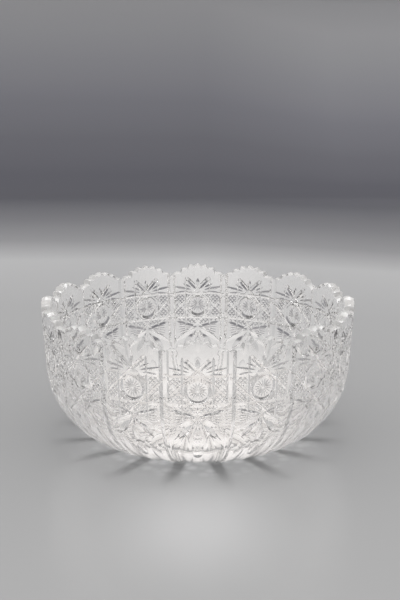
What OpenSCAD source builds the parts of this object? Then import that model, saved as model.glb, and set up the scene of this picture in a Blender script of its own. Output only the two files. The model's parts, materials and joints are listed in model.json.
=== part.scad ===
// Cut-glass punch bowl: a thick clear bowl with a scalloped, toothed rim. Sixteen mitred
// flutes part the wall into panels, each cut with three fans, a rayed button in an eight-line
// star, a bow tie of leaf cuts and a pair of wide leaves on the heel, above a star-cut base.
// The glass is divided on its own cut lines: the base disc, and one solid for each panel
// between the bottoms of two flutes. Neighbours meet face to face.
// Millimetres, +Z up, origin at the middle of the face that it stands on.

/* [Bowl] */
// Outer diameter across the scallop tops
rim_diameter = 305; // [285:1:330]
// Height from the table to the scallop tops
bowl_height = 140; // [130:1:160]
// Diameter of the flat base
base_diameter = 138; // [124:1:146]
// Radius of the curve between the base and the wall
heel_radius = 80; // [74:1:86]
// Thickness of the glass in the wall
wall_thickness = 9; // [8:0.5:12]
// Extra thickness of the glass in the base
base_extra = 3; // [1:0.5:8]

/* [Rim] */
// How far the rim dips between two scallops
scallop_depth = 10; // [7:0.5:13]
// Radius of the hollow between two scallops
hollow_radius = 14; // [8:0.5:20]
// Teeth on each scallop
scallop_teeth = 7; // [5:1:9]
// Depth of the gap between two teeth
tooth_depth = 2.4; // [1.5:0.1:3]
// Width of the gap between two teeth
tooth_width = 6; // [4:0.1:7]

/* [Flutes] */
// Panels round the bowl, with a flute between each two
panel_count = 16; // [14:1:18]
// Width of a flute on the upper wall
flute_width = 12.5; // [10:0.5:14]
// Depth of a flute on the upper wall
flute_depth = 3.6; // [2.8:0.1:4.2]
// Depth of a flute where it meets the base
flute_foot_depth = 1.5; // [1:0.1:1.9]

/* [Button] */
// Distance down the wall from the scallop top to the middle of the button
button_drop = 47; // [44:0.5:50]
// Diameter of the deepest line of the ring that is cut round the button
button_diameter = 23.6; // [21:0.2:25]
// Width of the slope that rises from the ring to the button
ring_width = 2.8; // [2:0.1:3.4]
// Depth of the ring cut
ring_depth = 1.4; // [0.9:0.1:1.6]
// Rays on the button
button_rays = 16; // [10:1:18]
// Length of a ray
ray_length = 6.4; // [5:0.1:7]
// Space left between the ring cut and the lines of the star
star_gap = 1.1; // [0.8:0.1:2]
// Length of a line of the star
star_length = 64; // [58:1:68]
// Depth of a line of the star
star_depth = 1.1; // [0.8:0.1:1.3]

/* [Fans] */
// Leaves in the fan above the button
fan_leaves = 7; // [5:2:9]
// Angle between two leaves of the fan
fan_step = 13; // [10:1:15]
// Length of a leaf of the fan
fan_length = 12.5; // [10:0.5:14]
// Leaves in each small fan at an upper corner of the star
corner_leaves = 5; // [3:1:5]
// Angle between two leaves of a small fan
corner_step = 18; // [14:1:20]
// Length of a leaf of a small fan
corner_length = 10.5; // [8:0.5:12]

/* [Bow tie] */
// Distance down the wall from the scallop top to the knot of the bow tie
knot_drop = 72; // [69:0.5:75]
// Angle that the upper edge of the bow tie rises towards its ends
bow_rise = 17; // [13:1:20]
// Angle that the lower edge of the bow tie falls towards its ends
bow_fall = 32; // [26:1:36]
// Length of the leaf along the upper edge
bow_length = 24; // [20:0.5:26]
// Length of the leaf along the lower edge
bow_foot_length = 29; // [25:0.5:31]
// Width of the leaf along the lower edge
bow_foot_width = 5; // [4:0.1:6]
// Depth of the leaf along the lower edge
bow_foot_depth = 1.7; // [1.2:0.1:2]
// Fine rays between the two edges, on each side
bow_rays = 5; // [3:1:6]
// Leaves that hang from the knot
tail_leaves = 3; // [1:1:4]
// Angle between two leaves that hang from the knot
tail_step = 24; // [20:1:28]
// Length of a leaf that hangs from the knot
tail_length = 10; // [8:0.5:13]

/* [Heel leaves] */
// Distance down the wall from the scallop top to the middle of the pair of leaves on the heel
heel_leaf_drop = 118; // [112:1:124]
// Length of a heel leaf
heel_leaf_length = 66; // [56:1:72]
// Width of a heel leaf
heel_leaf_width = 13; // [10:0.5:14]
// Depth of a heel leaf
heel_leaf_depth = 2.2; // [1.6:0.1:2.5]

/* [Small leaves] */
// Width of a small leaf cut
leaf_width = 3; // [2.4:0.1:3.6]
// Depth of a small leaf cut
leaf_depth = 1.2; // [0.9:0.1:1.5]
// Width of a fine ray
fine_width = 1.9; // [1.5:0.1:2.3]
// Depth of a fine ray
fine_depth = 0.7; // [0.5:0.1:0.9]

/* [Base star] */
// Clear space in the middle of the base star
star_eye = 24; // [16:1:34]

/* [Hidden] */
$fn = 96;
overcut = 0.25;
// Width of the narrow flat at the bottom of a flute and of a gap between teeth
cut_land = 0.6;
// Angle that a flute turns through on the heel
flute_sweep = 100;
line_taper = 6;
star_lines = 8;
// Angle that a small fan leans towards its flute
corner_turn = 45;
// Distance from the point that a fan spreads from to its leaves
focus_gap = 0.9;
// Place of a heel leaf between the middle and the edge of its panel
heel_leaf_place = 0.45;
// Length of a short ray of the base star, as a share of a long one
short_ray = 0.8;
pitch = 360 / panel_count;
rim_r = rim_diameter / 2;
base_r = base_diameter / 2;
base_thickness = wall_thickness + base_extra;
above_rim = bowl_height + 10;

// The wall is the straight line from the rim that touches the heel curve.
rim_from_heel = [rim_r - base_r, bowl_height - heel_radius];
flare = acos(heel_radius / norm(rim_from_heel)) - atan2(rim_from_heel.y, rim_from_heel.x);
wall_length = sqrt(pow(norm(rim_from_heel), 2) - pow(heel_radius, 2));
up_wall = [sin(flare), cos(flare)];
out_of_wall = [cos(flare), -sin(flare)];

// Scallop: a round top and a round hollow that run into each other.
half_scallop = rim_r * sin(pitch / 2);
round_sum = (pow(half_scallop, 2) + pow(scallop_depth, 2)) / (2 * scallop_depth);
scallop_radius = round_sum - hollow_radius;
rim_turn = atan2(half_scallop, round_sum - scallop_depth);
rim_length = 2 * round_sum * rim_turn * PI / 180;
star_apothem = button_diameter / 2 + ring_depth / 2 + star_gap;
turn_height = bowl_height - scallop_radius * (1 - cos(rim_turn));

// Point and outward tilt on the outside of the bowl, a distance down from the scallop top.
function tilt_at(drop) = flare + max(0, drop - wall_length) / heel_radius * 180 / PI;
function point_at(drop) =
    drop < wall_length
        ? [rim_r, bowl_height] - drop * up_wall
        : [base_r, heel_radius] + heel_radius * [cos(tilt_at(drop)), -sin(tilt_at(drop))];

// Point on the rim's outline and its slope, a distance along it from the scallop's middle.
function rim_bend(along) =
    let (turned = along / scallop_radius * 180 / PI)
        turned < rim_turn ? turned : rim_turn - (turned - rim_turn) * scallop_radius / hollow_radius;
function rim_point(along) =
    let (bend = rim_bend(along))
        along / scallop_radius * 180 / PI < rim_turn
            ? [scallop_radius * sin(bend), bowl_height - scallop_radius * (1 - cos(bend))]
            : [half_scallop - hollow_radius * sin(bend),
               bowl_height - scallop_depth + hollow_radius * (1 - cos(bend))];

// Places a cut on the outside of a panel: its X runs down the wall, Y to the side, Z out of the glass.
module on_panel(drop, side = 0) {
    at = point_at(drop);
    rotate([0, 0, side / at.x * 180 / PI])
        translate([at.x, 0, at.y])
            rotate([0, 90 + tilt_at(drop), 0])
                children();
}

// Leaf-shaped mitre cut along X, deepest in the middle and pointed at both ends.
module leaf(length, width = leaf_width, depth = leaf_depth) {
    grow = 1 + overcut / depth;
    polyhedron(
        points = [
            [length / 2 * grow, 0, overcut],
            [0, width / 2 * grow, overcut],
            [-length / 2 * grow, 0, overcut],
            [0, -width / 2 * grow, overcut],
            [0, 0, -depth]
        ],
        faces = [[3, 2, 1, 0], [0, 1, 4], [1, 2, 4], [2, 3, 4], [3, 0, 4]]
    );
}

// Straight V-shaped cut along X, as deep as half its width, that runs out at both ends.
module line_cut(length, depth) {
    edge = depth + overcut;
    end = length / 2;
    full = end - line_taper;
    polyhedron(
        points = [
            [end, 0, overcut],
            [full, edge, overcut],
            [-full, edge, overcut],
            [-end, 0, overcut],
            [-full, -edge, overcut],
            [full, -edge, overcut],
            [full, 0, -depth],
            [-full, 0, -depth]
        ],
        faces = [[5, 4, 3, 2, 1, 0], [0, 1, 6], [1, 2, 7, 6], [2, 3, 7], [3, 4, 7], [4, 5, 6, 7], [5, 0, 6]]
    );
}

// Long leaf cut down the heel: its bottom is an arc, flatter than the heel, that meets it at both ends.
module heel_leaf() {
    half = heel_leaf_length / 2;
    arc_radius = 1 / (1 / heel_radius - 2 * heel_leaf_depth / pow(half, 2));
    sweep = 2 * (half + leaf_width) / arc_radius * 180 / PI;
    height = 2 * heel_leaf_depth;
    translate([base_r, 0, heel_radius])
        rotate([0, tilt_at(heel_leaf_drop), 0])
            translate([heel_radius - heel_leaf_depth - arc_radius, 0, 0])
                rotate([90, 0, 0])
                    rotate([0, 0, -sweep / 2])
                        rotate_extrude(angle = sweep)
                            polygon([
                                [arc_radius, 0],
                                [arc_radius + height, heel_leaf_width],
                                [arc_radius + height, -heel_leaf_width]
                            ]);
}

// Leaf cut on a ray from a place on the panel; the angle is from straight down towards the side.
module rib(from, angle, length, width = leaf_width, depth = leaf_depth, near = focus_gap) {
    middle = from + (near + length / 2) * [cos(angle), sin(angle)];
    on_panel(middle.x, middle.y) rotate([0, 0, angle]) leaf(length, width, depth);
}

// Leaves that spread from a place on the panel like the ribs of a fan, about the angle turn.
module fan(from, leaves, step, length, turn) {
    for (i = [0 : leaves - 1]) rib(from, turn + (i - (leaves - 1) / 2) * step, length);
}

// Half of the bow tie: a leaf along its upper and its lower edge, and fine rays between them.
module half_bow(side) {
    knot = [knot_drop, 0];
    top = 90 + bow_rise;
    step = (bow_rise + bow_fall) / (bow_rays + 1);
    rib(knot, side * top, bow_length);
    rib(knot, side * (90 - bow_fall), bow_foot_length, bow_foot_width, bow_foot_depth);
    for (i = [1 : bow_rays])
        rib(knot, side * (top - i * step), bow_length - 2 * leaf_width, fine_width, fine_depth, leaf_width);
}

// Area inside the bowl's outside, moved in by inset, in the r-z plane.
module bowl_area(inset) {
    heel = [base_r, heel_radius];
    touch = heel + (heel_radius - inset) * out_of_wall;
    top = touch + (wall_length + 2 * above_rim) * up_wall;
    polygon([[0, inset], [base_r, inset], touch, top, [0, top.y]]);
    intersection() {
        translate(heel) circle(heel_radius - inset);
        polygon([
            heel,
            heel - [0, above_rim],
            heel + [above_rim, -above_rim],
            heel + above_rim * out_of_wall
        ]);
    }
}

// Cross-section of the wall outside the base disc.
module wall_area() {
    difference() {
        intersection() {
            bowl_area(0);
            translate([base_r, 0]) square([rim_r, above_rim]);
        }
        intersection() {
            bowl_area(wall_thickness);
            translate([0, base_thickness]) square([2 * rim_r, 3 * above_rim]);
        }
    }
}

// Outline of one panel's rim, seen from outside, with its teeth.
module rim_area() {
    difference() {
        union() {
            translate([-half_scallop, -1]) square([2 * half_scallop, turn_height + 1]);
            intersection() {
                translate([0, bowl_height - scallop_radius]) circle(scallop_radius);
                translate([-half_scallop, turn_height]) square([2 * half_scallop, above_rim]);
            }
        }
        for (side = [-1, 1])
            translate([side * half_scallop, bowl_height - scallop_depth + hollow_radius])
                circle(hollow_radius);
        for (i = [1 : scallop_teeth - 1]) {
            along = (i / scallop_teeth - 0.5) * rim_length;
            at = rim_point(abs(along));
            translate([sign(along) * at.x, at.y]) rotate(-sign(along) * rim_bend(abs(along))) tooth_gap();
        }
    }
}

// V-shaped gap between two teeth, on a rim that runs along X.
module tooth_gap() {
    land = cut_land / 2;
    top = land + (tooth_width / 2 - land) * (1 + 1 / tooth_depth);
    polygon([[-land, -tooth_depth], [land, -tooth_depth], [top, 1], [-top, 1]]);
}

// Stands an outline up across X and draws it out along X, past the rim.
module along_x() {
    rotate([90, 0, 90]) linear_extrude(2 * rim_r) children();
}

// V-shaped section of a flute: its narrow flat lies on the circle that the flute's bottom follows.
module flute_area() {
    bottom = heel_radius - flute_depth;
    top = bottom + 2 * flute_depth;
    land = cut_land / 2;
    half = flute_width - land;
    polygon([[bottom, -land], [bottom, land], [top, half], [top, -half]]);
}

// Flute down the outside of the bowl in the plane of X and Z: straight on the wall, then round on
// the heel and on past the edge of the base.
module flute() {
    lowered = flute_depth - flute_foot_depth;
    translate([base_r, 0, heel_radius - lowered])
        rotate([90, 0, 0])
            rotate([0, 0, -flare]) {
                mirror([0, 1, 0]) rotate_extrude(angle = flute_sweep) flute_area();
                rotate([-90, 0, 0]) linear_extrude(wall_length + above_rim) flute_area();
            }
}

// Button in its ring cut, with its rays. The ring is steep on the outside and slopes up to the button.
module button_cuts() {
    ring = button_diameter / 2;
    rise = 1 + overcut / ring_depth;
    for (i = [0 : button_rays - 1])
        rotate([0, 0, (i + 0.5) * 360 / button_rays])
            translate([ring - ring_width - ray_length / 2, 0, 0])
                leaf(ray_length, ray_length / 4, fine_depth);
    rotate_extrude()
        polygon([
            [ring, -ring_depth],
            [ring + ring_depth / 2 * rise, overcut],
            [ring - ring_width * rise, overcut]
        ]);
}

// One line of the star round the button, in two lengths that follow the round of the wall.
module star_line(turn) {
    foot = [button_drop, 0] + star_apothem * [cos(turn), sin(turn)];
    for (end = [-1, 1]) {
        middle = foot + end * star_length / 4 * [-sin(turn), cos(turn)];
        on_panel(middle.x, middle.y)
            rotate([0, 0, turn + 90])
                translate([-end * line_taper, 0, 0])
                    line_cut(star_length / 2 + 2 * line_taper, star_depth);
    }
}

// One panel of the wall, with the bottom of a flute down each edge. Panel 1 faces the front, along -Y.
module wall_panel(index) {
    color("aliceblue")
    rotate([0, 0, (index - 1) * pitch - 90])
    difference() {
        intersection() {
            rotate([0, 0, -pitch / 2]) rotate_extrude(angle = pitch) wall_area();
            along_x() rim_area();
        }
        for (side = [-1, 1])
            rotate([0, 0, side * pitch / 2]) {
                flute();
                translate([0, 0, bowl_height - scallop_depth]) along_x() tooth_gap();
            }
        on_panel(button_drop) button_cuts();
        for (i = [0 : star_lines - 1]) star_line(i * 360 / star_lines);
        fan([button_drop - star_apothem * sqrt(2), 0], fan_leaves, fan_step, fan_length, 180);
        for (side = [-1, 1]) {
            fan([button_drop - star_apothem, side * star_apothem],
                corner_leaves, corner_step, corner_length, 180 - side * corner_turn);
            half_bow(side);
        }
        fan([knot_drop, 0], tail_leaves, tail_step, tail_length, 0);
        for (side = [-1, 1]) rotate([0, 0, side * heel_leaf_place * pitch / 2]) heel_leaf();
    }
}

// Ray of the base star: it carries a flute on from the edge of the base towards the middle.
module star_ray() {
    eye = star_eye / 2;
    slope = flute_foot_depth / (base_r - eye);
    past = base_r + 2 * flute_foot_depth;
    deep = slope * (past - eye);
    wide = flute_width / 2 / flute_depth * (deep + overcut);
    polyhedron(
        points = [
            [eye - overcut / slope, 0, -overcut],
            [past, wide, -overcut],
            [past, -wide, -overcut],
            [past, 0, deep]
        ],
        faces = [[0, 2, 1], [0, 1, 3], [0, 3, 2], [1, 2, 3]]
    );
}

// Disc that the bowl stands on, with the star cut into its underside.
module star_base() {
    color("aliceblue")
    difference() {
        cylinder(h = base_thickness, r = base_r);
        for (i = [0 : panel_count - 1]) {
            rotate([0, 0, (i + 0.5) * pitch - 90]) star_ray();
            rotate([0, 0, i * pitch - 90])
                translate([(base_r + star_eye / 2) / 2, 0, 0])
                    rotate([180, 0, 0])
                        leaf((base_r - star_eye / 2) * short_ray);
        }
    }
}

star_base();
for (i = [1 : panel_count])
    wall_panel(i);
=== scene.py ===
"""Clear cut-glass punch bowl on a pale studio floor.

The bowl is one closed glass mesh. Half of one panel is cut from a plain turned blank, with cuts
laid along paths on its outside, and is then mirrored and turned round the axis. A place on the
outside is a pair (drop, side): millimetres down along the profile from the top of a scallop, and
millimetres round from the panel's middle.
"""

import json
import math
from typing import NamedTuple

import bmesh
import bpy
from mathutils import Matrix, Vector

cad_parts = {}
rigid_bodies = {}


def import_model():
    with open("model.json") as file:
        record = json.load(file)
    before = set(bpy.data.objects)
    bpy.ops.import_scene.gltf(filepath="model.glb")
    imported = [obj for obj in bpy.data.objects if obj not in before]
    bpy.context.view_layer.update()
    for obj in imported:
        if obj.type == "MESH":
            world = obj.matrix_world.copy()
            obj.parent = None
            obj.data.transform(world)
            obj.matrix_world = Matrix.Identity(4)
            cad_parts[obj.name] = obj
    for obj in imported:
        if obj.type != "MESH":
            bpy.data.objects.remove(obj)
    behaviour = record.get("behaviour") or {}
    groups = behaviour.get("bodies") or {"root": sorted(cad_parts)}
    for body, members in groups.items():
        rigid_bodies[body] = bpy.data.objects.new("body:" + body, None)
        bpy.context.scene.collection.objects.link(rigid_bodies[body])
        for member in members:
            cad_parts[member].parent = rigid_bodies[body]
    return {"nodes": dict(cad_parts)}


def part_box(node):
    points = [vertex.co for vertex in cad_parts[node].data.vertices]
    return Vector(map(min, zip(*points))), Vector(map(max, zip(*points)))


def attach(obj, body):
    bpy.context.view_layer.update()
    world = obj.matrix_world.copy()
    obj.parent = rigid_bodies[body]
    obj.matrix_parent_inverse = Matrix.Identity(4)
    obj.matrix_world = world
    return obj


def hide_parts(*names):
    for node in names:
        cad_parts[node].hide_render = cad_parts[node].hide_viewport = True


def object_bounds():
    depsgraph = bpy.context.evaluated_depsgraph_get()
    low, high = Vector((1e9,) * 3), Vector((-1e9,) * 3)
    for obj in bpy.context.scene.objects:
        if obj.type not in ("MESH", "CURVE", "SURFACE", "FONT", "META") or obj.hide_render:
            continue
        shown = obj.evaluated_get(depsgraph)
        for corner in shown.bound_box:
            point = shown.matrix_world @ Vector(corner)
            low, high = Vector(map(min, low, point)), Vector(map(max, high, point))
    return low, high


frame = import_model()
cad_low, cad_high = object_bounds()


class Leaf(NamedTuple):
    """A V-shaped cut on a ray: where it begins and ends on the ray, and its width and depth.

    It has its full width for the middle share and pointed ends. A lean puts its bottom nearer to
    one edge, as a share of half the width.
    """

    near: float
    far: float
    width: float
    depth: float
    steps: int = 8
    full: float = 0.0
    lean: float = 0.0


class Hatch(NamedTuple):
    """Fine parallel lines: their spacing, width and depth."""

    spacing: float
    width: float
    depth: float


# The bowl in millimetres, from the frame.
MM = 0.001
RIM_R = (cad_high[0] - cad_low[0]) / 2 / MM
HEIGHT = cad_high[2] / MM
BASE_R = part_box("star_base")[1][0] / MM
BASE_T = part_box("star_base")[1][2] / MM
PANELS = sum(name.startswith("wall_panel") for name in frame["nodes"])
HALF_PITCH = math.pi / PANELS

# Radius of the outside's curve at the heel, and the thickness of the wall.
HEEL_R = 80.0
WALL = 9.0

# The rim: scallops with hollows between them, and the notches between its teeth.
SCALLOP_DEPTH = 10.0
HOLLOW_R = 14.0
TEETH = 7
NOTCH_DEPTH = 2.4
NOTCH_WIDTH = 7.8
TOOTH_STEPS = 4
# The rim's section in shares of the wall: place in from the outside, and drop of the edge there.
RIM_SECTION = ((4.0, 0.6), (1.0, 0.1), (0.7, 0.0), (0.35, 0.0), (0.0, 0.13), (-1.0, 0.6))
# The rim is ground where it faces up: the upward share of a face's normal.
GROUND_RISE = 0.25

# The flutes between the panels: drop where the cutter starts, width, depth, and depth at the foot.
FLUTE_START = -8.0
FLUTE_WIDTH = 9.4
FLUTE_DEPTH = 3.4
FLUTE_FOOT_DEPTH = 1.5
# Share of a flute's width that is flat, and its section in shares of half the width and of the depth.
FLUTE_FLAT = 0.4
FLUTE_SECTION = ((-1, 0), (-FLUTE_FLAT, 1), (FLUTE_FLAT, 1), (1, 0))
FLUTE_WALL_STEPS = 6
FLUTE_HEEL_STEPS = 26
FLUTE_BASE_STEPS = 8
# Radius of the plain eye in the base star, where the flutes end.
STAR_EYE = 12.0

# The button with its rays, and the ring round it, which leans at its foot and its top.
BUTTON_DROP = 47.0
BUTTON_R = 10.7
BUTTON_RAYS = 16
BUTTON_RAY = Leaf(0.8, BUTTON_R - 1.5, 1.9, 0.6, steps=4)
RING_STEPS = 56
RING_WIDTH = 3.0
RING_DEPTH = 2.6
RING_LEAN = -0.55
# How much wider the ring is where it leans, and how much shallower at its foot and its top.
RING_WIDER = 0.4
RING_FOOT_SHALLOWER = 0.4
RING_TOP_SHALLOWER = 0.8
# Where foot and top begin, and how far on they are full: cosines of the place on the ring.
RING_FOOT = (0.5, 0.35)
RING_TOP = (0.1, 0.4)

# The lines of the star round the button, and their distance from its middle.
STAR_LINES = 8
STAR_APOTHEM = 13.6
STAR_LINE = Leaf(-32.0, 32.0, 2.6, 1.1, steps=28, full=0.85, lean=0.6)
# A line is upright if its middle lies less than this share of the distance below or above the button's.
STAR_UPRIGHT = 0.1

# The crown of leaves above the button: degrees from straight up to each pair, and its leaf.
FAN_DROP = 31.0
FAN_UPRIGHT = Leaf(2.5, 14.3, 4.4, 1.5, steps=10, full=0.1)
FAN_PAIRS = (
    (45, Leaf(2.5, 17.5, 3.3, 1.25, full=0.15, lean=-0.45)),
    (63, Leaf(8.0, 19.0, 2.4, 0.95, full=0.15, lean=-0.45)),
    (79, Leaf(7.0, 28.5, 2.9, 1.1, full=0.15, lean=-0.45)),
    (93, Leaf(10.0, 23.5, 2.3, 0.9, full=0.15, lean=-0.45)),
)

# The bow tie below the button: its knot, degrees from straight down to its upper edge, and between leaves.
KNOT_DROP = 72.0
BOW_TURN = 107.0
BOW_STEP = 8.2
BOW_RAYS = 5
BOW_UPPER_EDGE = Leaf(0.6, 25.0, 3.2, 1.3, full=0.6, lean=-0.6)
BOW_RAY = Leaf(2.0, 23.0, 1.8, 0.45, steps=6, full=0.5)
BOW_LOWER_EDGE = Leaf(0.8, 30.0, 5.0, 1.7, full=0.2, lean=0.6)
# The three leaves that hang from its knot and the pair that slants away below it, with their degrees.
HANGING_STEP = 24.0
HANGING_LEAF = Leaf(3.0, 13.0, 2.8, 1.2)
SLANTING_TURN = 36.0
SLANTING_LEAF = Leaf(9.0, 29.0, 6.5, 2.2, full=0.1, lean=-0.6)

# The pair of wide round leaves on the heel: drop of the middle, place in the half panel, and size.
HEEL_LEAF_DROP = 138.0
HEEL_LEAF_PLACE = 0.43
HEEL_LEAF_LENGTH = 104.0
HEEL_LEAF_WIDTH = 15.5
HEEL_LEAF_DEPTH = 0.7
HEEL_LEAF_STEPS = 18
# The ovals on the heel: drop of the middle, length, width and depth.
OVALS = ((92.0, 18.0, 9.0, 1.3), (116.0, 22.0, 10.0, 1.2))
OVAL_STEPS = 8
# A round cut's section, in shares of half the width and of the depth.
ROUND_SECTION = [(i / 3 - 1, 1 - (i / 3 - 1) ** 2) for i in range(7)]
# Width at the ends of round leaves and of ovals, as a share of the full width.
HEEL_LEAF_TIP = 0.02
OVAL_TIP = 0.05
# The short ray of the base star under each panel: radii of its ends, and size.
BASE_RAY_START_R = 60.0
BASE_RAY_END_R = 16.0
BASE_RAY_WIDTH = 5.0
BASE_RAY_DEPTH = 0.8
BASE_RAY_STEPS = 10

# The hatched fields: half their width, their distance from other cuts, and the bow tie's slope.
HATCH_EDGE = 25.6
HATCH_GAP = 1.0
HATCH_RING_GAP = 2.5
HATCH_BOW_GAP = 1.5
HATCH_BOW_SLOPE = math.tan(math.radians(17))
HATCH_SLOPES = (math.radians(45), math.radians(-45))
HATCH_BELOW = Hatch(3.1, 1.9, 0.5)
HATCH_BESIDE = Hatch(3.0, 1.9, 0.5)
HATCH_CORNER = Hatch(2.4, 1.6, 0.45)
# Steps and full share of a line, and the samples that find its ends.
HATCH_STEPS = 5
HATCH_FULL = 0.8
HATCH_SAMPLES = 160

# Cutters stand this far out of the glass.
LIFT = 0.25
# The blank reaches past the rim, and past both edges of the half panel that is kept.
SPARE_RISE = 4.0
SPARE_ANGLE = math.radians(2.0)
# Steps of the blank: round it, down its outside, and up its inside.
BLANK_COLUMNS = 8
BLANK_WALL_STEPS = 9
BLANK_HEEL_STEPS = 32
BLANK_BASE_STEPS = 5
INSIDE_FLOOR_STEPS = 5
INSIDE_HEEL_STEPS = 26
INSIDE_WALL_STEPS = 8
# Tolerances in metres: at the cutting planes, at the panels' seams, and for slivers.
PLANE_GAP = 1e-7
SEAM_GAP = 1e-5
SLIVER = 3e-6
# Faces that meet at more than this angle show an edge.
SHARP_ANGLE = math.radians(7)

# The glass: tint, least and most roughness, and index of refraction.
CRYSTAL_TINT = (0.99, 0.988, 0.985)
CRYSTAL_ROUGHNESS = (0.0, 0.03)
GLASS_IOR = 1.54
# The ground rim: share that is clear, tint and roughness.
GROUND_CLEAR = 0.55
GROUND_TINT = (0.86, 0.855, 0.85)
GROUND_ROUGHNESS = (0.25, 0.4)
# The grain of the polish.
POLISH_SCALE = 90.0
POLISH_DETAIL = 4.0
POLISH_RANGE = (0.35, 0.75)
# Lamp light that flutes throw aside: share at the foot, half width, fade, and where up the height it ends.
ASIDE_SHARE = 0.62
ASIDE_NEAR = 3.5
ASIDE_FADE = 4.0
ASIDE_TOP = 0.5

# The studio in metres: the floor's front edge, where the backdrop bends up, and its size.
FLOOR_FRONT = -3.0
FLOOR_BACK = 1.5
BACKDROP_BEND = 0.8
BACKDROP_TOP = 3.0
BACKDROP_HALF = 4.0
BEND_STEPS = 24
# Tones along the floor and up the backdrop: metres behind the bowl, grey level, share of blue.
BACKDROP = (
    (0.0, 0.42, 1.01),
    (0.5, 0.46, 1.01),
    (0.79, 0.53, 1.01),
    (0.95, 0.305, 1.03),
    (1.14, 0.192, 1.06),
    (1.37, 0.106, 1.13),
    (1.64, 0.116, 1.15),
    (1.84, 0.155, 1.13),
    (2.0, 0.214, 1.12),
    (2.15, 0.31, 1.08),
    (2.33, 0.448, 1.04),
    (2.42, 0.448, 1.04),
    (2.5, 0.3, 1.04),
    (2.75, 0.12, 1.1),
)
# To the right the tones come nearer: from none at the first place to so much at the second.
NEARER_FROM = 0.02
NEARER_TO = 0.34
NEARER = 0.1
# The floor's half gloss, which fades out towards the backdrop.
FLOOR_ROUGHNESS = 0.25
FLOOR_GLOSS = 0.5
GLOSS_FADE = (1.0, 1.4)
# Paler patches painted on the floor where the bowl would throw its light: middle, reach across and along,
# and gain.
PAINTED_LIGHT_PATCHES = ((0.0, -0.21, 0.095, 0.15, 0.33), (-0.01, 0.62, 0.14, 0.24, 0.3))
# Small bright cells of light painted round the foot, as the bowl would throw them: gain, cells to a metre,
# their edge, and where they fade out.
PAINTED_LIGHT_CELLS = 0.42
CELL_SCALE = 85.0
CELL_EDGE = (0.15, 0.7)
CELL_FADE = (0.085, 0.13)
# A painted glow: an emission on the floor under the bowl for the light that the bowl would gather there:
# level, middle, reach and tint.
PAINTED_POOL_GLOW = 0.6
POOL_MIDDLE = (0.0, -0.02, 0.0)
POOL_REACH = 0.43
POOL_TINT = (1.0, 0.95, 0.915)
# It falls off to both sides, to a share of its level.
POOL_SIDES = (0.03, 0.17)
POOL_SIDE_SHARE = 0.3
# A painted glow on all of the floor that the glass shows, for light that the glass would scatter.
PAINTED_HAZE_GLOW = 0.15

# Light from the sky: height it comes from as a share of straight up, and level. Its tint is faintly warm.
SKY = ((0.0, 0.38), (0.5, 0.46), (0.93, 0.51), (0.97, 0.85))
SKY_TINT = (1.0, 0.985, 0.965)
# Level of the room in front of the bowl, and the stretch of directions where it dims.
DIM_FRONT = 0.5
DIM_RANGE = (-0.75, -0.25)
# Level of the studio walls that the glass shows.
STUDIO = 0.85
# Light of the lamp above, in watts on a square metre, and its breadth as an angle.
LAMP = 2.3
LAMP_BREADTH = math.radians(34.0)

# The camera: film in millimetres, then height of the picture, lens and shift in its pixels.
FILM = 36.0
PICTURE_HEIGHT = 600
LENS_PIXELS = 1223.5
SHIFT_PIXELS = 2.29
# The camera's place in rim radii, and how many degrees it looks down.
CAMERA_AWAY = 7.6067
CAMERA_RISE = 2.8586
CAMERA_DIP = 14.46

# The wall is the straight line from the rim that touches the heel curve.
to_rim = Vector((RIM_R - BASE_R, HEIGHT - HEEL_R))
FLARE = math.acos(HEEL_R / to_rim.length) - math.atan2(to_rim.y, to_rim.x)
WALL_LENGTH = math.sqrt(to_rim.length**2 - HEEL_R**2)
HEEL_LENGTH = HEEL_R * (math.pi / 2 - FLARE)
PROFILE_LENGTH = WALL_LENGTH + HEEL_LENGTH + BASE_R

# The rim's outline is an arc over each scallop and a hollow arc between two. ARC_SUM adds up their radii.
RIM_HALF = RIM_R * math.sin(HALF_PITCH)
ARC_SUM = (RIM_HALF**2 + SCALLOP_DEPTH**2) / (2 * SCALLOP_DEPTH)
SCALLOP_R = ARC_SUM - HOLLOW_R
ARC_TURN = math.atan2(RIM_HALF, ARC_SUM - SCALLOP_DEPTH)
RIM_LENGTH = 2 * ARC_SUM * ARC_TURN


def share(value, start, span):
    """How far a value has come on a span from its start, from 0 to 1."""
    return min(max((value - start) / span, 0.0), 1.0)


def profile(drop):
    """Radius, height and outward tilt of the bowl's outside at a drop."""
    if drop < WALL_LENGTH:
        return RIM_R - drop * math.sin(FLARE), HEIGHT - drop * math.cos(FLARE), FLARE
    if drop < WALL_LENGTH + HEEL_LENGTH:
        tilt = FLARE + (drop - WALL_LENGTH) / HEEL_R
        return BASE_R + HEEL_R * math.cos(tilt), HEEL_R - HEEL_R * math.sin(tilt), tilt
    return PROFILE_LENGTH - drop, 0.0, math.pi / 2


def on_wall(drop, side):
    """Point and outward normal on the plain outside."""
    r, z, tilt = profile(drop)
    turn = side / max(r, 1.0)
    out = Vector((math.cos(turn), math.sin(turn), 0))
    return out * r + Vector((0, 0, z)), out * math.cos(tilt) - Vector((0, 0, math.sin(tilt)))


def flute_depth(drop):
    """Depth of a flute's bottom, less on the heel than on the wall."""
    return FLUTE_DEPTH - (FLUTE_DEPTH - FLUTE_FOOT_DEPTH) * math.sin(profile(drop)[2])


def on_cut_wall(drop, side):
    """Like on_wall, but down on the flute's side or bottom where the place lies in one."""
    at, out = on_wall(drop, side)
    off = abs(profile(drop)[0] * HALF_PITCH - abs(side))
    depth = flute_depth(drop)
    slope = 2 * FLUTE_DEPTH / (FLUTE_WIDTH * (1 - FLUTE_FLAT))
    return at - out * min(max(depth / (1 - FLUTE_FLAT) - off * slope, 0.0), depth), out


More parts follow.
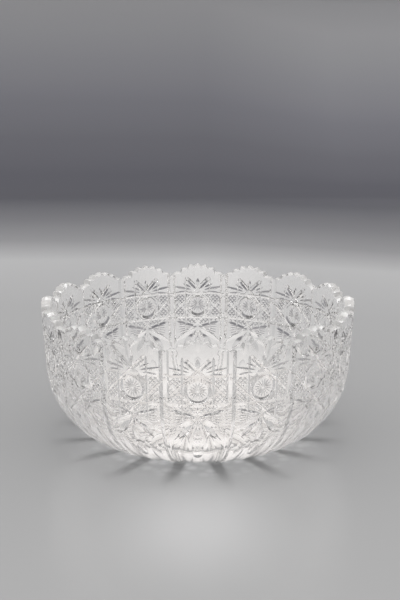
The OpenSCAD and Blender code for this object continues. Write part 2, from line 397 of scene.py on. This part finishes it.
class Solids:
    """A collection of closed meshes, each an object of its own."""

    def __init__(self, name):
        self.group = bpy.data.collections.new(name)

    def add(self, points, faces):
        """Adds a mesh from points in millimetres."""
        mesh = bpy.data.meshes.new(self.group.name)
        mesh.from_pydata([Vector(p) * MM for p in points], [], faces)
        work = bmesh.new()
        work.from_mesh(mesh)
        bmesh.ops.recalc_face_normals(work, faces=work.faces)
        work.to_mesh(mesh)
        work.free()
        self.group.objects.link(bpy.data.objects.new(mesh.name, mesh))


def v_cut(cuts, places, widths, depths, leans, closed=False):
    """A V-shaped cut through places on the outside, with a width, a depth and a lean at each."""
    points, faces = [], []
    count = len(places)
    for i, (at, out) in enumerate(places):
        before = places[i - 1] if closed or i else places[0]
        after = places[(i + 1) % count] if closed or i < count - 1 else places[-1]
        along = (after[0] - before[0]).normalized()
        across = out.cross(along)
        half, lean = widths[i] / 2, leans[i]
        grow = max(half * LIFT / max(depths[i], LIFT), LIFT / 4)
        points.append(at + across * (half + grow * (1 - lean)) + out * LIFT)
        points.append(at - across * (half + grow * (1 + lean)) + out * LIFT)
        points.append(at + across * (half * lean) - out * depths[i])
    for i in range(count if closed else count - 1):
        a, b = 3 * i, 3 * ((i + 1) % count)
        faces += [(a, b, b + 1, a + 1), (a + 1, b + 1, b + 2, a + 2), (a + 2, b + 2, b, a)]
    if not closed:
        end = 3 * count - 3
        faces += [(0, 1, 2), (end + 2, end + 1, end)]
    cuts.add(points, faces)


def tube_faces(rings, count):
    """The sides of a tube through rings of points."""
    faces = []
    for i in range(rings - 1):
        for k in range(count):
            a, b = count * i + k, count * i + (k + 1) % count
            faces.append((a, b, b + count, a + count))
    return faces


def trough_cut(cuts, places, widths, depths, section):
    """A cut like v_cut with another section, in shares of half the width and of the depth."""
    points = []
    count, last = len(section) + 2, len(places) - 1
    for i, (at, out) in enumerate(places):
        along = (places[min(i + 1, last)][0] - places[max(i - 1, 0)][0]).normalized()
        across = out.cross(along)
        half = widths[i] / 2
        grow = max(half * LIFT / max(2 * depths[i], LIFT), LIFT / 4)
        points.append(at - across * (half + grow) + out * LIFT)
        points += [at + across * (half * aside) - out * (depths[i] * deep) for aside, deep in section]
        points.append(at + across * (half + grow) + out * LIFT)
    end = count * last
    caps = [tuple(range(count)), tuple(range(end + count - 1, end - 1, -1))]
    cuts.add(points, tube_faces(len(places), count) + caps)


def mitre(cuts, path, width, depth, full=0.0, lean=0.0):
    """A V-shaped cut along (drop, side) places: full width for the middle share, pointed ends."""
    last = len(path) - 1
    swells = []
    for i in range(last + 1):
        off = abs(2 * i / last - 1)
        swells.append(1.0 if off <= full else 1 - ((off - full) / (1 - full)) ** 2)
    v_cut(
        cuts,
        [on_cut_wall(*place) for place in path],
        [width * swell for swell in swells],
        [depth * swell for swell in swells],
        [lean] * len(path),
    )


def straight(start, end, steps):
    """Places on a straight line between two (drop, side) places."""
    return [
        tuple(a + (b - a) * i / steps for a, b in zip(start, end)) for i in range(steps + 1)
    ]


def leaf(cuts, centre, angle, size, side=1):
    """A leaf cut on a ray from centre, at an angle from straight down; side turns its lean round."""
    way = (math.cos(angle), math.sin(angle))
    start = (centre[0] + way[0] * size.near, centre[1] + way[1] * size.near)
    end = (centre[0] + way[0] * size.far, centre[1] + way[1] * size.far)
    path = straight(start, end, size.steps)
    mitre(cuts, path, size.width, size.depth, size.full, size.lean * side)


def blank_section():
    """The blank's closed outline as (radius, height) points, down its outside and up its inside."""
    outside = [profile(-SPARE_RISE)[:2]]
    for i in range(BLANK_WALL_STEPS):
        outside.append(profile(WALL_LENGTH * i / BLANK_WALL_STEPS)[:2])
    for i in range(BLANK_HEEL_STEPS):
        outside.append(profile(WALL_LENGTH + HEEL_LENGTH * i / BLANK_HEEL_STEPS)[:2])
    for i in range(BLANK_BASE_STEPS):
        outside.append((BASE_R * (1 - i / BLANK_BASE_STEPS), 0.0))
    inner_r = HEEL_R - WALL
    floor_tilt = math.asin((HEEL_R - BASE_T) / inner_r)
    edge = BASE_R + inner_r * math.cos(floor_tilt)
    inside = [(edge * i / INSIDE_FLOOR_STEPS, BASE_T) for i in range(1, INSIDE_FLOOR_STEPS)]
    for i in range(INSIDE_HEEL_STEPS + 1):
        tilt = floor_tilt + (FLARE - floor_tilt) * i / INSIDE_HEEL_STEPS
        inside.append((BASE_R + inner_r * math.cos(tilt), HEEL_R - inner_r * math.sin(tilt)))
    top_r, top_z = inside[-1]
    rise = HEIGHT + SPARE_RISE - top_z
    for i in range(1, INSIDE_WALL_STEPS + 1):
        up = rise * i / INSIDE_WALL_STEPS
        inside.append((top_r + rise * math.tan(FLARE) * i / INSIDE_WALL_STEPS, top_z + up))
    return outside + [(0.0, 0.0), (0.0, BASE_T)] + inside


def blank():
    """The turned glass before cutting: a wedge a little wider than half a panel."""
    section = blank_section()
    span = HALF_PITCH + 2 * SPARE_ANGLE
    points, columns = [(0, 0, 0), (0, 0, BASE_T)], []
    for k in range(BLANK_COLUMNS + 1):
        turn = -SPARE_ANGLE + span * k / BLANK_COLUMNS
        column = []
        for r, z in section:
            if r == 0.0:
                column.append(0 if z == 0.0 else 1)
            else:
                column.append(len(points))
                points.append((r * math.cos(turn), r * math.sin(turn), z))
        columns.append(column)
    faces = []
    count = len(section)
    for here, there in zip(columns, columns[1:]):
        for i in range(count):
            j = (i + 1) % count
            corners = list(dict.fromkeys((here[i], here[j], there[j], there[i])))
            if len(corners) > 2:
                faces.append(corners)
    faces += [columns[0], columns[-1][::-1]]
    solid = Solids("blank")
    solid.add(points, faces)
    return solid.group.objects[0]


def rim_point(along):
    """Side, height and slope of the rim's outline, a distance along it from the scallop's middle."""
    sign = math.copysign(1, along)
    bend = abs(along) / SCALLOP_R
    if bend < ARC_TURN:
        side = sign * SCALLOP_R * math.sin(bend)
        return side, HEIGHT - SCALLOP_R * (1 - math.cos(bend)), sign * bend
    bend = ARC_TURN - (abs(along) - ARC_TURN * SCALLOP_R) / HOLLOW_R
    side = sign * (RIM_HALF - HOLLOW_R * math.sin(bend))
    return side, HEIGHT - SCALLOP_DEPTH + HOLLOW_R * (1 - math.cos(bend)), sign * bend


def rim_outline():
    """The scallop's outline with its teeth, as (side, height) points from hollow to hollow."""
    outline = []
    land = RIM_LENGTH / TEETH - NOTCH_WIDTH
    for tooth in range(TEETH):
        notch = (tooth / TEETH - 0.5) * RIM_LENGTH
        side, height, bend = rim_point(notch)
        outline.append((side - NOTCH_DEPTH * math.sin(bend), height - NOTCH_DEPTH * math.cos(bend)))
        for step in range(TOOTH_STEPS + 1):
            outline.append(rim_point(notch + NOTCH_WIDTH / 2 + land * step / TOOTH_STEPS)[:2])
    side, height = rim_point(RIM_LENGTH / 2)[:2]
    return outline + [(side, height - NOTCH_DEPTH)]


def rim_cut(cuts):
    """Takes off the glass above the rim of this panel and the next."""
    top = HEIGHT + WALL
    outline = [(math.asin(side / RIM_R), z) for side, z in rim_outline()]
    outline = outline[:-1] + [(turn + 2 * HALF_PITCH, z) for turn, z in outline]
    points = []
    for turn, z in outline:
        ring = [(RIM_R - WALL * place, z - WALL * drop) for place, drop in RIM_SECTION]
        ring += [(ring[-1][0], top), (ring[0][0], top)]
        points += [(r * math.cos(turn), r * math.sin(turn), height) for r, height in ring]
    count = len(RIM_SECTION) + 2
    end = len(points) - count
    caps = [tuple(range(count - 1, -1, -1)), tuple(range(end, end + count))]
    cuts.add(points, tube_faces(len(outline), count) + caps)


def flute_cut(cuts):
    """The flute at the panel's edge, which runs out under the base as a ray of its star."""
    heel_end = WALL_LENGTH + HEEL_LENGTH
    ray = BASE_R - STAR_EYE
    drops = [FLUTE_START] + [WALL_LENGTH * i / FLUTE_WALL_STEPS for i in range(FLUTE_WALL_STEPS)]
    drops += [WALL_LENGTH + HEEL_LENGTH * i / FLUTE_HEEL_STEPS for i in range(FLUTE_HEEL_STEPS)]
    drops += [heel_end + ray * i / FLUTE_BASE_STEPS for i in range(FLUTE_BASE_STEPS + 1)]
    places, widths, depths = [], [], []
    for drop in drops:
        r = profile(drop)[0]
        fade = max((r - STAR_EYE) / ray, 0) if drop > heel_end else 1.0
        depth = flute_depth(drop) * fade
        places.append(on_wall(drop, r * HALF_PITCH))
        widths.append(FLUTE_WIDTH * depth / FLUTE_DEPTH)
        depths.append(depth * fade)
    trough_cut(cuts, places, widths, depths, FLUTE_SECTION)


def ring_cut(cuts):
    """The ring round the button."""
    places, widths, depths, leans = [], [], [], []
    for i in range(RING_STEPS):
        turn = 2 * math.pi * i / RING_STEPS
        foot = share(math.cos(turn), *RING_FOOT)
        top = share(-math.cos(turn), *RING_TOP)
        places.append(on_wall(BUTTON_DROP + BUTTON_R * math.cos(turn), BUTTON_R * math.sin(turn)))
        widths.append(RING_WIDTH + RING_WIDER * (foot + top))
        depths.append(RING_DEPTH - RING_FOOT_SHALLOWER * foot - RING_TOP_SHALLOWER * top)
        leans.append(RING_LEAN * (foot + top))
    v_cut(cuts, places, widths, depths, leans, closed=True)


def button_cuts(cuts):
    """The ring round the button, its rays, and the lines of the star."""
    ring_cut(cuts)
    for i in range(BUTTON_RAYS):
        leaf(cuts, (BUTTON_DROP, 0.0), 2 * math.pi * (i + 0.5) / BUTTON_RAYS, BUTTON_RAY)
    for i in range(STAR_LINES):
        turn = 2 * math.pi / STAR_LINES * i
        down, aside = math.cos(turn), math.sin(turn)
        foot = (BUTTON_DROP + STAR_APOTHEM * down, STAR_APOTHEM * aside)
        # The wide wall of a line is its lower one. Upright lines don't lean.
        side = math.copysign(1, down) if abs(down) > STAR_UPRIGHT else 0
        leaf(cuts, foot, turn + math.pi / 2, STAR_LINE, side)


def fan_cuts(cuts):
    """The crown of leaves above the button, from flute to flute; the pairs have a wide upper wall."""
    centre = (FAN_DROP, 0.0)
    leaf(cuts, centre, math.pi, FAN_UPRIGHT)
    for side in (-1, 1):
        for turn, size in FAN_PAIRS:
            leaf(cuts, centre, math.pi - side * math.radians(turn), size, side)


def bow_cuts(cuts):
    """The bow tie below the button, and the leaves that hang from its knot and slant away."""
    knot = (KNOT_DROP, 0.0)
    sizes = [BOW_UPPER_EDGE] + [BOW_RAY] * BOW_RAYS + [BOW_LOWER_EDGE]
    for side in (-1, 1):
        for i, size in enumerate(sizes):
            leaf(cuts, knot, side * math.radians(BOW_TURN - BOW_STEP * i), size, side)
    for i in (-1, 0, 1):
        leaf(cuts, knot, math.radians(HANGING_STEP) * i, HANGING_LEAF)
    for side in (-1, 1):
        leaf(cuts, knot, math.radians(SLANTING_TURN) * side, SLANTING_LEAF, side)


def heel_leaf_cut(cuts, side):
    """A wide round leaf on one side of the panel's heel."""
    places, widths, depths = [], [], []
    for i in range(HEEL_LEAF_STEPS + 1):
        drop = HEEL_LEAF_DROP + HEEL_LEAF_LENGTH * (i / HEEL_LEAF_STEPS - 0.5)
        r = profile(drop)[0]
        swell = max(1 - abs(2 * i / HEEL_LEAF_STEPS - 1) ** 3, HEEL_LEAF_TIP)
        places.append(on_wall(drop, side * HEEL_LEAF_PLACE * HALF_PITCH * r))
        widths.append(HEEL_LEAF_WIDTH * swell * r / profile(HEEL_LEAF_DROP)[0])
        depths.append(HEEL_LEAF_DEPTH * swell)
    trough_cut(cuts, places, widths, depths, ROUND_SECTION)


def oval_cut(cuts, middle, length, width, depth):
    """An upright oval in the middle of the panel's heel."""
    places, widths, depths = [], [], []
    for i in range(OVAL_STEPS + 1):
        off = 2 * i / OVAL_STEPS - 1
        swell = max(math.sqrt(max(1 - off**2, 0.0)), OVAL_TIP)
        places.append(on_wall(middle + length * (i / OVAL_STEPS - 0.5), 0.0))
        widths.append(width * swell)
        depths.append(depth * swell**2)
    trough_cut(cuts, places, widths, depths, ROUND_SECTION)


def heel_cuts(cuts):
    """The pair of round leaves and the ovals on the heel, and a short ray of the base star."""
    for side in (-1, 1):
        heel_leaf_cut(cuts, side)
    for oval in OVALS:
        oval_cut(cuts, *oval)
    start = (PROFILE_LENGTH - BASE_RAY_START_R, 0.0)
    end = (PROFILE_LENGTH - BASE_RAY_END_R, 0.0)
    mitre(cuts, straight(start, end, BASE_RAY_STEPS), BASE_RAY_WIDTH, BASE_RAY_DEPTH)


def hatch_cuts(cuts, inside, corners, hatch):
    """Lines at both slopes, where they lie inside a field between two corner places."""
    low, high = corners
    middle = ((low[0] + high[0]) / 2, (low[1] + high[1]) / 2)
    reach = math.hypot(high[0] - low[0], high[1] - low[1]) / 2
    lines = int(reach / hatch.spacing)
    samples = [reach * (2 * i / HATCH_SAMPLES - 1) for i in range(HATCH_SAMPLES + 1)]
    for slope in HATCH_SLOPES:
        way = (math.cos(slope), math.sin(slope))
        for k in range(-lines, lines + 1):
            off = hatch.spacing * k
            foot = (middle[0] - way[1] * off, middle[1] + way[0] * off)
            held = [t for t in samples if inside(foot[0] + way[0] * t, foot[1] + way[1] * t)]
            if held and held[-1] - held[0] > 2 * hatch.width:
                line = Leaf(held[0], held[-1], hatch.width, hatch.depth, HATCH_STEPS, HATCH_FULL)
                leaf(cuts, foot, slope, line)


def below_star(drop, side):
    """Whether a place lies between the star and the bow tie's upper edge."""
    bow = KNOT_DROP - HATCH_BOW_GAP - abs(side) * HATCH_BOW_SLOPE
    return BUTTON_DROP + STAR_APOTHEM + HATCH_GAP < drop < bow and abs(side) < HATCH_EDGE


def beside_star(way):
    """The test for places between the star and the flute on one side."""

    def inside(drop, side):
        level = abs(drop - BUTTON_DROP) < STAR_APOTHEM - HATCH_GAP
        return level and STAR_APOTHEM + HATCH_GAP < side * way < HATCH_EDGE

    return inside


def star_corner(way, end):
    """The test for places in a small triangle between the ring and the star's squares."""

    def inside(drop, side):
        down = drop - BUTTON_DROP
        outside_ring = BUTTON_R + HATCH_RING_GAP < math.hypot(down, side)
        in_square = max(abs(down), abs(side)) < STAR_APOTHEM - HATCH_GAP
        return outside_ring and in_square and side * way > 0 and down * end > 0

    return inside


def hatched_fields(cuts):
    """Crossed fine lines below and beside the star, and in the corners between its squares."""
    star_foot, star_head = BUTTON_DROP + STAR_APOTHEM, BUTTON_DROP - STAR_APOTHEM
    field = ((star_foot, -HATCH_EDGE), (KNOT_DROP, HATCH_EDGE))
    hatch_cuts(cuts, below_star, field, HATCH_BELOW)
    for way in (-1, 1):
        field = ((star_head, way * STAR_APOTHEM), (star_foot, way * HATCH_EDGE))
        hatch_cuts(cuts, beside_star(way), field, HATCH_BESIDE)
        for end in (-1, 1):
            field = ((BUTTON_DROP, 0.0), (BUTTON_DROP + end * STAR_APOTHEM, way * STAR_APOTHEM))
            hatch_cuts(cuts, star_corner(way, end), field, HATCH_CORNER)


def cut_half_panel():
    """Half a panel of cut glass as an open mesh, from its middle to the bottom of a flute."""
    scene = bpy.context.scene
    glass = blank()
    scene.collection.objects.link(glass)
    outlines = (rim_cut, flute_cut)
    figures = (button_cuts, fan_cuts, bow_cuts, heel_cuts)
    groups = []
    for makers in (outlines, figures, (hatched_fields,)):
        cuts = Solids("cuts")
        for make in makers:
            make(cuts)
        groups.append(cuts.group)
        scene.collection.children.link(cuts.group)
        cutter = glass.modifiers.new("cut", "BOOLEAN")
        cutter.operation = "DIFFERENCE"
        cutter.operand_type = "COLLECTION"
        cutter.collection = cuts.group
        cutter.solver = "MANIFOLD"
    graph = bpy.context.evaluated_depsgraph_get()
    half = bpy.data.meshes.new_from_object(glass.evaluated_get(graph))
    work = bmesh.new()
    work.from_mesh(half)
    for turn, sign in ((0.0, 1), (HALF_PITCH, -1)):
        bmesh.ops.bisect_plane(
            work,
            geom=work.verts[:] + work.edges[:] + work.faces[:],
            dist=PLANE_GAP,
            plane_co=(0, 0, 0),
            plane_no=Vector((-math.sin(turn), math.cos(turn), 0)) * sign,
            clear_inner=True,
        )
    work.to_mesh(half)
    work.free()
    bpy.data.objects.remove(glass)
    for group in groups:
        for cutter in list(group.objects):
            bpy.data.objects.remove(cutter)
        bpy.data.collections.remove(group)
    return half


def join_panels(half):
    """The whole bowl's mesh from half panels, mirrored, turned round the axis and sewn together."""
    whole = bmesh.new()
    for k in range(PANELS):
        turn = Matrix.Rotation(2 * HALF_PITCH * k - math.pi / 2, 4, "Z")
        for mirror in (Matrix.Identity(4), Matrix.Scale(-1, 4, Vector((0, 1, 0)))):
            part = half.copy()
            part.transform(turn @ mirror)
            if mirror.determinant() < 0:
                part.flip_normals()
            whole.from_mesh(part)
            bpy.data.meshes.remove(part)
    seams = [v for v in whole.verts if v.is_boundary]
    bmesh.ops.remove_doubles(whole, verts=seams, dist=SEAM_GAP)
    loose = [e for e in whole.edges if not e.link_faces]
    bmesh.ops.delete(whole, geom=loose, context="EDGES")
    bmesh.ops.dissolve_degenerate(whole, dist=SLIVER, edges=whole.edges)
    bmesh.ops.triangulate(whole, faces=whole.faces)
    mesh = bpy.data.meshes.new("cut_glass_bowl")
    whole.to_mesh(mesh)
    whole.free()
    return mesh


def faces_out(face):
    """Whether a face of the glass is on the bowl's outside."""
    at = face.center / MM
    r = math.hypot(at.x, at.y)
    tilt = math.pi / 2 if r < BASE_R else max(math.atan2(HEEL_R - at.z, r - BASE_R), FLARE)
    round_out = Vector((at.x, at.y, 0)).normalized() * math.cos(tilt)
    round_out.z = -math.sin(tilt)
    return round_out.dot(face.normal) > 0


def lamp_share(face):
    """Share of the lamp's light that a face lets through: least in the flutes at the foot."""
    if not faces_out(face):
        return 1.0
    rise = min(face.center.z / (ASIDE_TOP * HEIGHT * MM), 1.0)
    turn = (math.atan2(face.center.y, face.center.x) + math.pi / 2) % (2 * HALF_PITCH)
    aside = abs(turn - HALF_PITCH) * face.center.xy.length / MM
    return 1.0 - ASIDE_SHARE * (1.0 - share(aside, ASIDE_NEAR, ASIDE_FADE)) * (1.0 - rise)


def make_bowl():
    """The bowl: its faces smooth between the edges of the cuts, and ground along the rim."""
    half = cut_half_panel()
    mesh = join_panels(half)
    bpy.data.meshes.remove(half)
    mesh.shade_smooth()
    mesh.set_sharp_from_angle(angle=SHARP_ANGLE)
    rim_low = (HEIGHT - 2 * SCALLOP_DEPTH) * MM
    through = mesh.attributes.new("through", "FLOAT", "FACE")
    for face in mesh.polygons:
        if face.center.z > rim_low and face.normal.z > GROUND_RISE:
            face.material_index = 1
        through.data[face.index].value = lamp_share(face)
    bowl = bpy.data.objects.new("cut_glass_bowl", mesh)
    bpy.context.scene.collection.objects.link(bowl)
    return bowl


class Nodes:
    """The nodes of a material or of the world."""

    def __init__(self, owner):
        owner.use_nodes = True
        self.all = owner.node_tree.nodes
        self.links = owner.node_tree.links

    def add(self, kind, **settings):
        """A new node with its settings."""
        node = self.all.new(f"ShaderNode{kind}")
        for name, value in settings.items():
            setattr(node, name, value)
        return node

    def join(self, source, target):
        """Links an output to an input."""
        self.links.new(source, target)

    def axes(self, vector):
        """The X, Y and Z outputs of a vector."""
        node = self.add("SeparateXYZ")
        self.join(vector, node.inputs["Vector"])
        return node.outputs

    def spread(self, value, stretch, first, last, interpolation="SMOOTHSTEP"):
        """A value's stretch mapped to levels from first to last."""
        node = self.add("MapRange", interpolation_type=interpolation)
        node.inputs["From Min"].default_value = stretch[0]
        node.inputs["From Max"].default_value = stretch[1]
        node.inputs["To Min"].default_value = first
        node.inputs["To Max"].default_value = last
        self.join(value, node.inputs["Value"])
        return node.outputs["Result"]

    def ramp(self, value, tones):
        """Colours along a value, from (place, red, green, blue) rows."""
        node = self.add("ValToRGB")
        stops = node.color_ramp.elements
        stops.remove(stops[1])
        for i, (place, *colour) in enumerate(tones):
            stop = stops.new(place) if i else stops[0]
            stop.position = place
            stop.color = (*colour, 1)
        self.join(value, node.inputs["Fac"])
        return node.outputs["Color"]

    def scale(self, colour, level):
        """A colour times a level."""
        node = self.add("VectorMath", operation="SCALE")
        self.join(colour, node.inputs[0])
        self.join(level, node.inputs["Scale"])
        return node.outputs["Vector"]

    def maths(self, operation, *values):
        """What an operation makes of outputs and numbers."""
        node = self.add("Math", operation=operation)
        for value, socket in zip(values, node.inputs):
            if isinstance(value, float):
                socket.default_value = value
            else:
                self.join(value, socket)
        return node.outputs["Value"]

    def distance(self, place, middle=(0.0, 0.0, 0.0)):
        """A place's distance from a middle."""
        node = self.add("VectorMath", operation="DISTANCE")
        node.inputs[1].default_value = middle
        self.join(place, node.inputs[0])
        return node.outputs["Value"]

    def mix(self, amount, first, second):
        """A mix of two shaders."""
        node = self.add("MixShader")
        for source, socket in zip((amount, first, second), node.inputs):
            self.join(source, socket)
        return node.outputs["Shader"]


def crystal(name, clear_share, tint, roughness):
    """Clear glass with a faint unevenness left by the polishing of the cuts."""
    material = bpy.data.materials.new(name)
    nodes = Nodes(material)
    shader = nodes.all["Principled BSDF"]
    shader.inputs["Base Color"].default_value = (*tint, 1)
    shader.inputs["Transmission Weight"].default_value = clear_share
    shader.inputs["IOR"].default_value = GLASS_IOR
    grain = nodes.add("TexNoise")
    grain.inputs["Scale"].default_value = POLISH_SCALE
    grain.inputs["Detail"].default_value = POLISH_DETAIL
    nodes.join(nodes.add("TexCoord").outputs["Object"], grain.inputs["Vector"])
    rough = nodes.spread(grain.outputs["Fac"], POLISH_RANGE, *roughness, "LINEAR")
    nodes.join(rough, shader.inputs["Roughness"])
    # Lamps shine through the glass: the slanted faces of its cuts throw most of their light aside.
    through = nodes.add("Attribute", attribute_name="through")
    clear = nodes.add("BsdfTransparent")
    nodes.join(through.outputs["Color"], clear.inputs["Color"])
    shadow = nodes.add("LightPath").outputs["Is Shadow Ray"]
    surface = nodes.mix(shadow, shader.outputs["BSDF"], clear.outputs["BSDF"])
    nodes.join(surface, nodes.all["Material Output"].inputs["Surface"])
    return material


def thrown_light(nodes, place, colour):
    """The floor's colour with painted light that the bowl would throw on it: paler patches and small
    bright cells.
    """
    for x, y, across, along, gain in PAINTED_LIGHT_PATCHES:
        patch = nodes.add("Mapping", vector_type="TEXTURE")
        patch.inputs["Location"].default_value = (x, y, 0.0)
        patch.inputs["Scale"].default_value = (across, along, 1.0)
        nodes.join(place, patch.inputs["Vector"])
        off = nodes.distance(patch.outputs["Vector"])
        colour = nodes.scale(colour, nodes.spread(off, (0.0, 1.0), 1.0 + gain, 1.0))
    # Painted light: small bright cells round the foot.
    cells = nodes.add("TexVoronoi")
    cells.inputs["Scale"].default_value = CELL_SCALE
    nodes.join(place, cells.inputs["Vector"])
    bright = nodes.spread(cells.outputs["Distance"], CELL_EDGE, PAINTED_LIGHT_CELLS, 0.0)
    fade = nodes.spread(nodes.distance(place), CELL_FADE, 1.0, 0.0)
    return nodes.scale(colour, nodes.maths("MULTIPLY_ADD", bright, fade, 1.0))


def gathered_light(nodes, place, x, colour):
    """What the glass shows of the floor: lit paint, and a painted glow for the light that the bowl would
    gather on it.
    """
    off = nodes.distance(place, POOL_MIDDLE)
    pool = nodes.spread(off, (0.0, POOL_REACH), PAINTED_POOL_GLOW + PAINTED_HAZE_GLOW, PAINTED_HAZE_GLOW)
    sides = nodes.spread(nodes.maths("ABSOLUTE", x), POOL_SIDES, 1.0, POOL_SIDE_SHARE)
    # Painted glow: an emission that only rays through the glass see.
    glow = nodes.add("Emission")
    glow.inputs["Color"].default_value = (*POOL_TINT, 1)
    nodes.join(nodes.maths("MULTIPLY", pool, sides), glow.inputs["Strength"])
    lit = nodes.add("BsdfDiffuse")
    nodes.join(colour, lit.inputs["Color"])
    both = nodes.add("AddShader")
    nodes.join(glow.outputs["Emission"], both.inputs[0])
    nodes.join(lit.outputs["BSDF"], both.inputs[1])
    return both.outputs["Shader"]


def floor_paint(length):
    """Half-gloss paint, with painted light from the bowl round it and a painted glow under it, and darker
    up the matt backdrop.
    """
    material = bpy.data.materials.new("floor_paint")
    nodes = Nodes(material)
    shader = nodes.all["Principled BSDF"]
    shader.inputs["Roughness"].default_value = FLOOR_ROUGHNESS
    along = nodes.axes(nodes.add("UVMap", uv_map="along").outputs["UV"])["Y"]
    place = nodes.add("TexCoord").outputs["Object"]
    x = nodes.axes(place)["X"]
    nearer = nodes.spread(x, (NEARER_FROM, NEARER_TO), 0.0, NEARER / length, "LINEAR")
    tones = [(at / length, grey, grey, grey * blue) for at, grey, blue in BACKDROP]
    colour = nodes.ramp(nodes.maths("ADD", along, nearer), tones)
    nodes.join(thrown_light(nodes, place, colour), shader.inputs["Base Color"])
    fade = [end / length for end in GLOSS_FADE]
    gloss = nodes.spread(along, fade, FLOOR_GLOSS, 0.0, "LINEAR")
    nodes.join(gloss, shader.inputs["Specular IOR Level"])
    # Rays through the glass see the floor with its painted glow.
    seen_through = nodes.add("LightPath").outputs["Is Transmission Ray"]
    through_glass = gathered_light(nodes, place, x, colour)
    surface = nodes.mix(seen_through, shader.outputs["BSDF"], through_glass)
    nodes.join(surface, nodes.all["Material Output"].inputs["Surface"])
    return material


def make_stage():
    """A wide pale floor that sweeps up into a backdrop far behind the bowl."""
    line = [(FLOOR_FRONT, 0.0, 0.0), (0.0, 0.0, 0.0), (FLOOR_BACK, 0.0, FLOOR_BACK)]
    for i in range(1, BEND_STEPS + 1):
        turn = math.pi / 2 * i / BEND_STEPS
        y, z = BACKDROP_BEND * math.sin(turn), BACKDROP_BEND * (1 - math.cos(turn))
        line.append((FLOOR_BACK + y, z, FLOOR_BACK + BACKDROP_BEND * turn))
    length = line[-1][2] + BACKDROP_TOP - BACKDROP_BEND
    line.append((FLOOR_BACK + BACKDROP_BEND, BACKDROP_TOP, length))
    points, faces = [], []
    for y, z, _ in line:
        points += [(-BACKDROP_HALF, y, z), (BACKDROP_HALF, y, z)]
    for i in range(len(line) - 1):
        faces.append((2 * i, 2 * i + 1, 2 * i + 3, 2 * i + 2))
    mesh = bpy.data.meshes.new("studio_floor")
    mesh.from_pydata(points, [], faces)
    mesh.shade_smooth()
    places = mesh.uv_layers.new(name="along").data
    for loop in mesh.loops:
        places[loop.index].uv = (0.5, line[loop.vertex_index // 2][2] / length)
    floor = bpy.data.objects.new("studio_floor", mesh)
    bpy.context.scene.collection.objects.link(floor)
    mesh.materials.append(floor_paint(length))


def make_sky():
    """Soft white light from all round, brightest straight above; the glass shows pale walls."""
    world = bpy.data.worlds.new("studio")
    bpy.context.scene.world = world
    nodes = Nodes(world)
    sky = nodes.all["Background"]
    way = nodes.axes(nodes.add("TexCoord").outputs["Generated"])
    tones = [(rise, *(level * tint for tint in SKY_TINT)) for rise, level in SKY]
    light = nodes.ramp(way["Z"], tones)
    # The room in front of the bowl is dim.
    front = nodes.spread(way["Y"], DIM_RANGE, DIM_FRONT, 1.0)
    nodes.join(nodes.scale(light, front), sky.inputs["Color"])
    walls = nodes.add("Background")
    walls.inputs["Color"].default_value = (*(STUDIO * tint for tint in SKY_TINT), 1)
    seen_through = nodes.add("LightPath").outputs["Is Transmission Ray"]
    surface = nodes.mix(seen_through, sky.outputs["Background"], walls.outputs["Background"])
    nodes.join(surface, nodes.all["World Output"].inputs["Surface"])
    world.cycles.sampling_method = "NONE"


def make_lamp():
    """A broad lamp straight above."""
    data = bpy.data.lights.new("lamp_above", "SUN")
    data.energy = LAMP
    data.angle = LAMP_BREADTH
    data.cycles.use_multiple_importance_sampling = False
    lamp = bpy.data.objects.new("lamp_above", data)
    bpy.context.scene.collection.objects.link(lamp)


def make_camera():
    """The photograph's place: in front, a little above, through a long lens."""
    data = bpy.data.cameras.new("camera")
    data.sensor_width = FILM
    data.lens = FILM * LENS_PIXELS / PICTURE_HEIGHT
    data.shift_x = SHIFT_PIXELS / PICTURE_HEIGHT
    camera = bpy.data.objects.new("camera", data)
    camera.location = (0, -CAMERA_AWAY * RIM_R * MM, CAMERA_RISE * RIM_R * MM)
    camera.rotation_euler = (math.radians(90 - CAMERA_DIP), 0, 0)
    bpy.context.scene.collection.objects.link(camera)
    bpy.context.scene.camera = camera


bowl = make_bowl()
bowl.data.materials.append(crystal("crystal", 1.0, CRYSTAL_TINT, CRYSTAL_ROUGHNESS))
bowl.data.materials.append(crystal("ground_rim", GROUND_CLEAR, GROUND_TINT, GROUND_ROUGHNESS))
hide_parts(*frame["nodes"])
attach(bowl, "root")
make_stage()
make_sky()
make_lamp()
make_camera()
scene = bpy.context.scene
scene.view_settings.view_transform = "Standard"
scene.cycles.max_bounces = 32
scene.cycles.transmission_bounces = 32
scene.cycles.glossy_bounces = 16
scene.cycles.diffuse_bounces = 6
scene.cycles.caustics_refractive = False
scene.cycles.caustics_reflective = True
